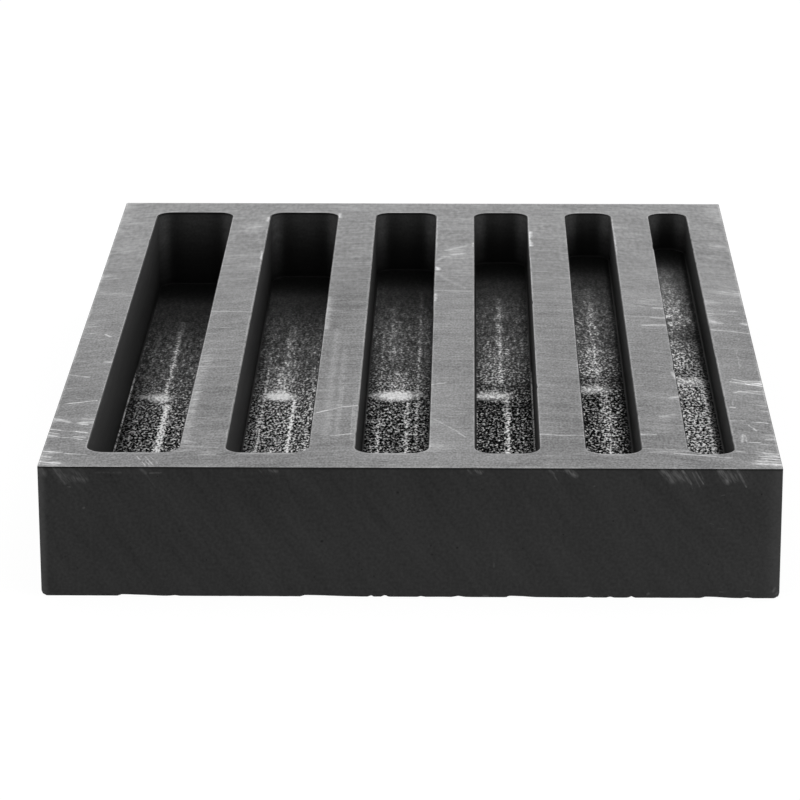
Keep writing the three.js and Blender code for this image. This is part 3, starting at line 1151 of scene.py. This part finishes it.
# Lighter streaks along the slots' floors.
FLOOR_STREAKS = strokes(
    (-30.9, 32.0, -30.7, -3.0, 0.35, 0.65), (-30.25, -3.0, -30.05, -46.0, 0.4, 0.9),
    (-33.5, 28.0, -33.6, -30.0, 0.25, 0.2), (-18.45, 12.0, -18.4, -35.0, 0.2, 0.4),
    (-18.9, 30.0, -18.5, 12.0, 0.5, 0.15), (-16.1, 27.0, -16.3, 9.0, 0.5, 0.4),
    (-16.7, 9.0, -16.6, -2.0, 1.3, 0.45), (-15.1, 8.0, -15.0, -3.0, 0.15, 0.3),
    (-14.8, -4.0, -14.75, -35.0, 0.25, 0.7), (-12.8, 32.0, -12.85, 15.0, 0.4, 0.2),
    (-12.8, 10.0, -12.75, -35.0, 0.15, 0.3), (-3.4, 33.0, -3.45, 14.0, 0.25, 0.4),
    (-4.4, 26.0, -4.35, -4.0, 0.2, 0.3), (-4.3, -14.0, -4.2, -40.0, 0.2, 0.5),
    (0.15, 40.0, 0.2, -25.0, 0.2, 0.4), (-0.95, -8.0, -0.9, -40.0, 0.25, 0.5),
    (-3.0, 26.0, -2.9, 9.0, 0.6, 0.35), (-1.1, -9.0, -0.9, -14.0, 0.5, 0.3),
    (-2.4, 3.0, -2.3, -5.0, 1.4, 0.4), (-5.6, -15.0, -4.6, -15.0, 0.5, 0.3),
    (10.2, 33.0, 10.2, -4.0, 0.38, 0.65), (9.6, 9.0, 9.5, -6.0, 1.9, 0.35),
    (10.9, -9.0, 10.85, -42.0, 0.35, 0.6), (21.85, 34.0, 21.85, -5.0, 0.7, 0.5),
    (21.7, 10.0, 21.6, -6.0, 1.3, 0.3), (22.5, -9.0, 22.5, -45.0, 0.65, 0.4),
    (34.05, -9.0, 34.05, -45.0, 0.2, 0.35), (32.2, 40.0, 32.6, 16.0, 1.2, 0.3),
)

# The light patch on each floor.
FLOOR_PATCHES = strokes(
    (-31.7, 0.4, -31.2, -0.4, 1.15, 0.7), (-33.2, 0.4, -31.7, 0.2, 0.8, 0.45),
    (-16.9, -2.2, -16.4, -2.5, 1.4, 1.1), (-2.9, -5.0, -2.0, -5.0, 1.6, 1.1),
    (-5.0, -4.6, -0.1, -4.8, 0.8, 0.5), (8.2, -8.1, 9.9, -8.1, 1.3, 0.6),
    (20.6, -8.6, 21.6, -8.6, 1.35, 0.5), (32.0, -8.4, 32.9, -8.6, 1.35, 0.5),
)

# Scuffs on the front, across and up.
FRONT_SCUFFS = strokes(
    (-38.2, 14.6, -37.05, 13.0, 0.22, 0.5), (-37.7, 14.6, -36.5, 13.2, 0.16, 0.4),
    (-36.5, 14.6, -35.1, 13.6, 0.2, 0.35), (-36.0, 13.5, -34.9, 13.3, 0.3, 0.5),
    (-36.8, 12.5, -36.5, 12.5, 0.06, 0.6), (-39.5, 14.6, -39.3, 14.0, 0.3, 0.45),
    (-33.9, 14.15, -32.3, 14.15, 0.1, 0.26), (-31.9, 14.12, -30.9, 14.18, 0.1, 0.26),
    (-29.0, 14.7, -28.3, 14.1, 0.16, 0.5), (-28.3, 14.1, -27.4, 12.6, 0.1, 0.15),
    (-27.9, 14.1, -26.7, 14.15, 0.09, 0.55), (-16.2, 14.65, -15.9, 14.3, 0.09, 0.35),
    (-15.0, 14.5, -14.2, 14.3, 0.16, 0.65), (6.26, 14.6, 6.58, 14.2, 0.09, 0.5),
    (7.1, 14.6, 7.65, 14.3, 0.2, 0.8), (15.0, 14.6, 15.45, 14.2, 0.12, 0.65),
    (15.45, 14.1, 16.0, 13.15, 0.08, 0.45), (15.8, 14.6, 16.5, 14.45, 0.1, 0.45),
    (16.9, 14.65, 17.8, 14.0, 0.25, 0.95), (27.2, 14.6, 28.2, 13.5, 0.35, 0.85),
    (28.3, 14.3, 29.3, 13.6, 0.3, 0.6), (29.25, 14.6, 30.15, 13.1, 0.12, 1.05),
    (29.7, 14.2, 30.35, 12.6, 0.07, 0.4), (30.3, 14.4, 31.1, 12.8, 0.08, 0.5),
    (30.65, 14.5, 31.5, 13.1, 0.07, 1.0), (31.0, 14.5, 31.65, 13.3, 0.06, 0.6),
    (33.3, 14.6, 34.1, 13.4, 0.33, 1.15), (34.15, 14.6, 34.9, 13.4, 0.15, 0.75),
    (34.7, 14.6, 35.2, 13.5, 0.1, 0.5), (35.1, 14.65, 36.1, 12.8, 0.1, 1.0),
)

# Light specks low on the front and a few above.
FRONT_SPECKS = strokes(
    (8.0, 0.2, 8.5, 0.15, 0.1, 0.9), (19.5, 0.2, 19.9, 0.15, 0.08, 0.6),
    (25.75, 0.45, 25.85, 0.5, 0.12, 1.0), (33.5, 0.75, 33.9, 0.72, 0.06, 0.6),
    (36.3, 0.9, 36.8, 0.88, 0.06, 0.6), (39.3, 0.8, 39.5, 1.2, 0.12, 0.8),
    (39.6, 0.5, 39.8, 0.7, 0.1, 0.7), (33.5, 11.8, 33.8, 11.85, 0.06, 0.6),
    (32.3, 8.6, 32.7, 8.5, 0.06, 0.35), (33.2, 8.0, 33.8, 8.0, 0.06, 0.35),
    (-35.15, 10.1, -35.05, 10.15, 0.1, 0.8), (19.8, 12.8, 19.85, 12.8, 0.08, 0.5),
    (9.1, 3.5, 9.1, 3.9, 0.08, 0.4),
)

# Dark pits on the front.
FRONT_PITS = strokes(
    (-1.3, 12.0, -1.25, 12.0, 0.12, 0.9), (-9.5, 6.4, -9.45, 6.4, 0.12, 1.0),
    (-24.8, 7.5, -24.75, 7.5, 0.1, 0.7), (-5.5, 3.9, -5.45, 3.9, 0.1, 0.6),
    (-37.3, 4.5, -37.25, 4.5, 0.08, 0.6), (-36.0, 3.2, -35.95, 3.2, 0.08, 0.6),
    (2.4, 4.9, 2.45, 4.9, 0.1, 0.8), (5.1, 5.7, 5.15, 5.7, 0.1, 0.8),
)


# Finishes


@dataclass(frozen=True)
class MilledTop:
    """A part of the top, across from first to last in mm: mid grey with a sheen and fine grain.

    It has the faint arcs of a wide cutter, rubbed spots, and the scratches that lie in that part.
    """

    name: str
    first: float
    last: float
    tone: float = 0.20
    darkest: float = 0.2
    arc_radius: float = 105.0
    far: tuple[float, float] = (-5.0, 35.0)
    # A painted sheen: lighter towards the back by so much per mm.
    rise_per_mm: float = 0.003
    grain: float = 2.3
    lines: float = 1.3
    bands: float = 0.9
    patches: float = 0.8
    scratches: float = 3.9
    scratch_reach: float = 1.0
    scratch_shake: float = 0.5
    blue: float = 1.01
    rough: float = 0.42
    rough_grain: float = 0.12
    metal: float = 0.6
    specular: float = 0.4
    relief_depth: float = 0.004

    def own_scratches(self) -> tuple[Stroke, ...]:
        """The scratches that lie in this part or just beside it."""
        low, high = self.first - self.scratch_reach, self.last + self.scratch_reach
        return tuple(s for s in TOP_STROKES if max(s.x0, s.x1) > low and min(s.x0, s.x1) < high)

    def material(self) -> bpy.types.Material:
        """Makes the material: the tone times the sum of all that makes a place lighter or darker.

        Returns:
            The material.
        """
        sheet = Sheet(f"milled_top_{self.name}")
        x, y, _ = sheet.split(sheet.mm)
        arc = x * x * (0.5 / self.arc_radius) + y

        def drawn_out(
            across: float, along: float, level: float, detail: float, rough: float = 0.5
        ) -> Value:
            """Noise drawn out along the cutter's arcs, less its average, in grains per mm."""
            place = sheet.join(x * across, arc * along, level)
            return sheet.noise(place, 1.0, detail, rough) - 0.5

        back = sheet.ease(y, *self.far)
        near_grain = sheet.mottle((4.2, 2.2, 1.0)) - 0.5
        grain = sheet.blend(back, near_grain, drawn_out(1.9, 0.75, 1.0, 1.5) * 0.7)
        lines = drawn_out(0.22, 2.6, 3.0, 3.0, 0.7)
        threads = drawn_out(0.3, 5.5, 11.0, 1.0)
        bands = drawn_out(0.12, 0.42, 5.0, 2.0)
        flecks = drawn_out(0.8, 3.3, 7.0, 2.0)
        patches = sheet.mottle((0.13, 0.05, 0.1), 3.0) - 0.5

        shake = sheet.vector("SUBTRACT", sheet.noise(sheet.mm, 0.6, 1.0), (0.5, 0.5, 0.5))
        place = sheet.vector("ADD", sheet.join(x, y, 0.0), sheet.scaled(shake, self.scratch_shake))
        broken = sheet.ease(sheet.noise(sheet.mm, 1.7, 2.0), 0.3, 0.5, 0.5, 1.0)
        scratched = sheet.marks(place, self.own_scratches()) * broken

        rubbed = sheet.blend(back, sheet.ease(flecks, -0.05, 0.15, 0.1, 1.25), 0.8)
        rubbed = rubbed + sheet.ease(threads, 0.03, 0.14, 0.0, 1.8)
        along_rim = sheet.ease(sheet.noise(sheet.mm, 0.25, 2.0), 0.35, 0.65, 0.5, 1.9)
        # The rise along y is a painted sheen, lighter towards the back.
        light = sheet.mark("cloud") + 1.0 + y * self.rise_per_mm
        light = light + grain * self.grain + lines * self.lines + bands * self.bands
        light = light + patches * self.patches + scratched * self.scratches
        # Rubbed wear, and along the edges a lighter band that is partly rubbed wear and partly painted
        # highlight.
        light = light + sheet.mark("wear_and_painted_light") * rubbed + sheet.mark("edge") * along_rim
        light = light + sheet.ease(flecks, 0.16, 0.28, 0.0, 0.35) + sheet.ease(threads, 0.10, 0.22, 0.0, 0.7)
        tone = sheet.math("MAXIMUM", light, self.darkest) * self.tone
        rough = grain * self.rough_grain + self.rough
        relief = (lines * 0.6 + near_grain, self.relief_depth)
        return sheet.finish(tone, rough, self.metal, self.specular, relief, self.blue)


@dataclass(frozen=True)
class SlotWall:
    """The slots' upright walls: smooth and nearly black, with painted shade down them and painted highlights
    on the rims.
    """

    tone: float = 0.030
    rough: float = 0.6
    specular: float = 0.1
    relief_depth: float = 0.003

    def material(self) -> bpy.types.Material:
        """Makes the material."""
        sheet = Sheet("slot_wall_graphite")
        along, grain = sheet.mottle((0.5, 0.08, 1.6)), sheet.mottle((3.0, 2.0, 3.0), 1.0)
        # The wall mark is painted shade, darker with depth.
        tone = (along * 0.5 + 0.4 + grain * 0.7) * sheet.mark("wall") * self.tone
        # Painted highlight along the feet of two walls: lighter and more metallic.
        patchy = sheet.ease(sheet.noise(sheet.mm, 2.2, 1.0), 0.35, 0.6)
        foot = sheet.math("MULTIPLY", sheet.mark("wear_and_painted_light"), patchy, clamp=True)
        # Painted highlight: on the rims the colour turns to a mottled mid grey.
        rim = sheet.noise(sheet.mm, 0.8, 2.0) * 0.5
        tone = sheet.blend(sheet.mark("glint"), sheet.blend(foot, tone, 0.5), rim)
        return sheet.finish(tone, self.rough, foot * 0.8, self.specular, (grain, self.relief_depth))


@dataclass(frozen=True)
class SpeckledFloor:
    """The slots' floors: the cutter's end leaves fine pits and glints on a dark ground.

    Streaks and one patch on each floor are lighter. Each pair is two places along the slot in mm,
    between which a share eases.
    """

    ground: float = 0.006
    glint: float = 0.80
    rough: float = 0.32
    specular: float = 0.0
    streaks_begin: tuple[float, float] = (-49.0, -33.0)
    streaks_gain: tuple[float, float] = (40.0, 20.0)
    crisp_near: tuple[float, float] = (13.0, -12.0)
    sharper: tuple[float, float] = (44.0, 12.0)
    # Where painted shade near the back wall starts and is full, along the slot.
    painted_shade_end: tuple[float, float] = (49.0, 39.0)

    def material(self) -> bpy.types.Material:
        """Makes the material.

        A glint is bright metal-like graphite. Painted light and shade change the share of glints, and
        towards the back of the slot the speckle is coarser and softer, with painted shade near the back
        wall.

        Returns:
            The material.
        """
        sheet = Sheet("slot_floor_graphite")
        x, y, _ = sheet.split(sheet.mm)
        flat = sheet.join(x, y, 0.0)
        level = sheet.mark("wear_and_painted_light")
        fine = sheet.mottle((3.5, 1.8, 1.0), rough=0.65)
        coarse = sheet.mottle((2.2, 0.5, 1.0))
        streak = sheet.marks(flat, FLOOR_STREAKS) * sheet.ease(y, *self.streaks_begin)

        crisp = sheet.ease(streak * 0.22 + level * 0.22 + fine, 0.457, 0.71)
        power = (fine * 0.62 + coarse * 0.38 - 0.5) * sheet.ease(y, *self.sharper, 2.5, 10.0)
        # Painted shade near the back wall.
        power = power + sheet.ease(y, *self.painted_shade_end, -2.0, 0.0)
        power = power + streak * sheet.ease(y, *self.streaks_gain, 1.0, 1.9)
        soft = sheet.math("EXPONENT", power) * (level * 0.08 + 0.148)
        share = sheet.blend(sheet.ease(y, *self.crisp_near), soft, crisp)

        patch = sheet.marks(flat, FLOOR_PATCHES)
        patch = sheet.math("MULTIPLY", patch, sheet.ease(fine, 0.25, 0.6, 0.9, 1.9), clamp=True)
        share = sheet.blend(patch, share, fine * 0.84 + 0.48)
        # Painted light and shade on the floor, per point.
        share = sheet.math("MULTIPLY", share, sheet.mark("painted_floor_shade"), clamp=True)
        metal = sheet.math("SQRT", share)
        tone = sheet.blend(share * metal, self.ground, self.glint)
        return sheet.finish(tone, self.rough, metal, self.specular)


@dataclass(frozen=True)
class SawnSide:
    """The outer faces: dull and dark, slightly mottled, with faint shades that lean to the right.

    The front also has scuffs under its top edge, light specks and a few dark pits. Places in mm.
    """

    tone: float = 0.022
    base: float = 1.35
    broad: float = 0.75
    middling: float = 0.4
    grain: float = 1.1
    lean: float = 0.65
    # Painted shade and light: darker upwards and lighter to the right, per mm.
    rise_per_mm: float = -0.021
    right_per_mm: float = 0.003
    pits_per_mm: float = 0.45
    pit_edge: tuple[float, float] = (0.05, 0.025)
    right_corner: tuple[float, float] = (38.0, 40.0)
    left_corner: tuple[float, float] = (-38.95, -39.9)
    corner_ends: tuple[float, float] = (54.2, 54.9)
    corner_light: float = 1.3
    front_face: float = -54.6
    scuff_light: float = 2.4
    rough: float = 0.62
    specular: float = 0.12
    relief_depth: float = 0.004

    def material(self) -> bpy.types.Material:
        """Makes the material.

        Returns:
            The material.
        """
        sheet = Sheet("outer_graphite")
        x, y, z = sheet.split(sheet.mm)
        across = z * self.lean + (x + y)

        def leaning(grains: float, up: float, level: float, detail: float) -> Value:
            """Noise drawn out along the lean: so many grains per mm across it and up."""
            return sheet.noise(sheet.join(across * grains, z * up, level), 1.0, detail)

        rubs, hair = leaning(3.2, 0.25, 0.0, 2.0), leaning(5.5, 1.4, 2.0, 1.0)
        broad, middling = leaning(0.35, 0.12, 3.0, 3.0), leaning(1.2, 0.15, 7.0, 2.0)
        grain = sheet.mottle((2.8, 2.8, 2.8), 1.0)
        cells = sheet.node("ShaderNodeTexVoronoi", {"Vector": sheet.mm, "Scale": self.pits_per_mm})
        pit = sheet.ease(Value(sheet, cells.outputs["Distance"]), *self.pit_edge)
        upright = sheet.ease(x, *self.right_corner) * 0.6 + sheet.ease(x, *self.left_corner)
        upright = upright * sheet.ease(sheet.math("ABSOLUTE", y), *self.corner_ends)

        light = (broad - 0.5) * self.broad + (middling - 0.5) * self.middling
        light = light + (grain - 0.5) * self.grain + self.base
        # Darker upwards and lighter to the right: painted shade and light across the outer faces.
        light = light + z * self.rise_per_mm + x * self.right_per_mm + upright * self.corner_light
        light = light + sheet.mark("wear_and_painted_light") * sheet.ease(rubs, 0.42, 0.62, 0.1, 0.6)
        light = light * (1.0 - pit * 0.7)

        front, face = sheet.math("LESS_THAN", y, self.front_face), sheet.join(x, z, 0.0)
        scuffs = sheet.marks(face, FRONT_SCUFFS) * sheet.ease(hair, 0.3, 0.65, 0.2, 1.7)
        lit = sheet.math("MAXIMUM", scuffs, sheet.marks(face, FRONT_SPECKS))
        light = light + front * lit * self.scuff_light
        light = light * (1.0 - front * sheet.marks(face, FRONT_PITS))
        # Painted shade: darker just under the top edge.
        tone = light * self.tone * sheet.ease(sheet.mark("edge"), 0.1, 0.9, 1.0, 0.3)
        return sheet.finish(tone, self.rough, 0.0, self.specular, (grain, self.relief_depth))


# Camera, floor and light


@dataclass(frozen=True)
class Camera:
    """The camera, fitted to the block's corners. Angles in degrees, lengths in mm."""

    place: Triple = (6.1779, -433.7697, 144.9949)
    heading: float = -1.0855
    dip: float = 17.9258
    roll: float = -0.1506
    lens: float = 168.160
    sensor: float = 36.0
    near_m: float = 0.01
    far_m: float = 50.0

    def build(self) -> bpy.types.Object:
        """Makes the camera.

        It looks along (sin h cos d, cos h cos d, -sin d) for heading h and dip d, turned by roll.

        Returns:
            The camera's object.
        """
        h, d, r = (math.radians(a) for a in (self.heading, self.dip, self.roll))
        ahead = Vector((math.sin(h) * math.cos(d), math.cos(h) * math.cos(d), -math.sin(d)))
        level = Vector((math.cos(h), -math.sin(h), 0.0))
        above = level.cross(ahead)
        right = level * math.cos(r) + above * math.sin(r)
        up = above * math.cos(r) - level * math.sin(r)
        data = bpy.data.cameras.new("camera")
        data.lens, data.sensor_width = self.lens, self.sensor
        data.clip_start, data.clip_end = self.near_m, self.far_m
        made = bpy.data.objects.new("camera", data)
        turn = Matrix((right, up, -ahead)).transposed().to_4x4()
        made.matrix_world = Matrix.Translation(Vector(self.place) * MM) @ turn
        bpy.context.scene.collection.objects.link(made)
        bpy.context.scene.camera = made
        return made


@dataclass(frozen=True)
class Studio:
    """A plain white floor under an even white sky, with one large soft lamp overhead. Lengths in mm."""

    floor_half: float = 4000.0
    floor_drop: float = 0.01
    floor_grey: float = 0.85
    floor_glow: float = 1.05
    glow_share: float = 0.9
    sky: float = 0.8
    lamp_power: float = 1.2
    lamp_size: float = 700.0
    lamp_place: Triple = (550.0, -50.0, 800.0)

    @staticmethod
    def seen(tree: Nodes) -> Value:
        """1 for a ray from the camera, from gloss or through glass, and 0 for the rest."""
        path = tree.node("ShaderNodeLightPath").outputs
        total = Value(tree, path["Is Camera Ray"])
        for label in ("Is Glossy Ray", "Is Transmission Ray"):
            total = tree.math("MAXIMUM", total, Value(tree, path[label]))
        return total

    def floor(self) -> bpy.types.Object:
        """Makes the floor. It is seen as white, and a share of its shade is kept."""
        half, low = self.floor_half * MM, -self.floor_drop * MM
        mesh = bpy.data.meshes.new("floor")
        corners = [(-half, -half, low), (half, -half, low), (half, half, low), (-half, half, low)]
        mesh.from_pydata(corners, [], [(0, 1, 2, 3)])
        made = bpy.data.objects.new("floor", mesh)
        bpy.context.scene.collection.objects.link(made)
        paint = bpy.data.materials.new("white_floor")
        paint.use_nodes = True
        paint.cycles.emission_sampling = "NONE"
        paint.node_tree.nodes.clear()
        tree = Nodes(paint.node_tree)
        grey = (self.floor_grey, self.floor_grey, self.floor_grey, 1.0)
        plain = tree.node("ShaderNodeBsdfDiffuse", {"Color": grey})
        glow = tree.node("ShaderNodeEmission", {"Strength": self.floor_glow})
        shaders = {1: Value(tree, plain.outputs[0]), 2: Value(tree, glow.outputs[0])}
        mix = tree.node("ShaderNodeMixShader", {0: self.seen(tree) * self.glow_share, **shaders})
        tree.node("ShaderNodeOutputMaterial", {"Surface": Value(tree, mix.outputs[0])})
        mesh.materials.append(paint)
        return made

    def light(self) -> None:
        """Makes the sky, white where it is seen, and the lamp."""
        world = bpy.data.worlds.new("sky")
        bpy.context.scene.world = world
        world.use_nodes = True
        tree = Nodes(world.node_tree)
        back = tree.nodes["Background"]
        back.inputs["Color"].default_value = (1.0, 1.0, 1.0, 1.0)
        tree.put(back.inputs["Strength"], self.seen(tree) * (1.0 - self.sky) + self.sky)
        data = bpy.data.lights.new("overhead", "AREA")
        data.shape, data.size, data.energy = "SQUARE", self.lamp_size * MM, self.lamp_power
        made = bpy.data.objects.new("overhead", data)
        made.location = Vector(self.lamp_place) * MM
        made.rotation_mode = "QUATERNION"
        made.rotation_quaternion = (-made.location).to_track_quat("-Z", "Y")
        bpy.context.scene.collection.objects.link(made)


def main() -> None:
    """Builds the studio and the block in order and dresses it."""
    logging.basicConfig(level=logging.INFO, format="%(name)s: %(message)s")
    bpy.context.scene.view_settings.view_transform = "Standard"
    Camera().build()
    studio = Studio()
    studio.floor()
    studio.light()
    block = GraphiteBlock()
    made = block.build()
    borders = (-block.width / 2, *block.top_splits, block.width / 2)
    tops = [MilledTop(f"strip_{number}", *ends) for number, ends in enumerate(zip(borders, borders[1:]))]
    for finish in (*tops, SlotWall(), SpeckledFloor(), SawnSide()):
        made.data.materials.append(finish.material())
    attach(made, "root")
    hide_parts("mould_block")
    points, facets = len(made.data.vertices), len(made.data.polygons)
    log.info("%s: %d points, %d facets, slots %s", made.name, points, facets, block.bar_widths)


if __name__ == "__main__":
    main()
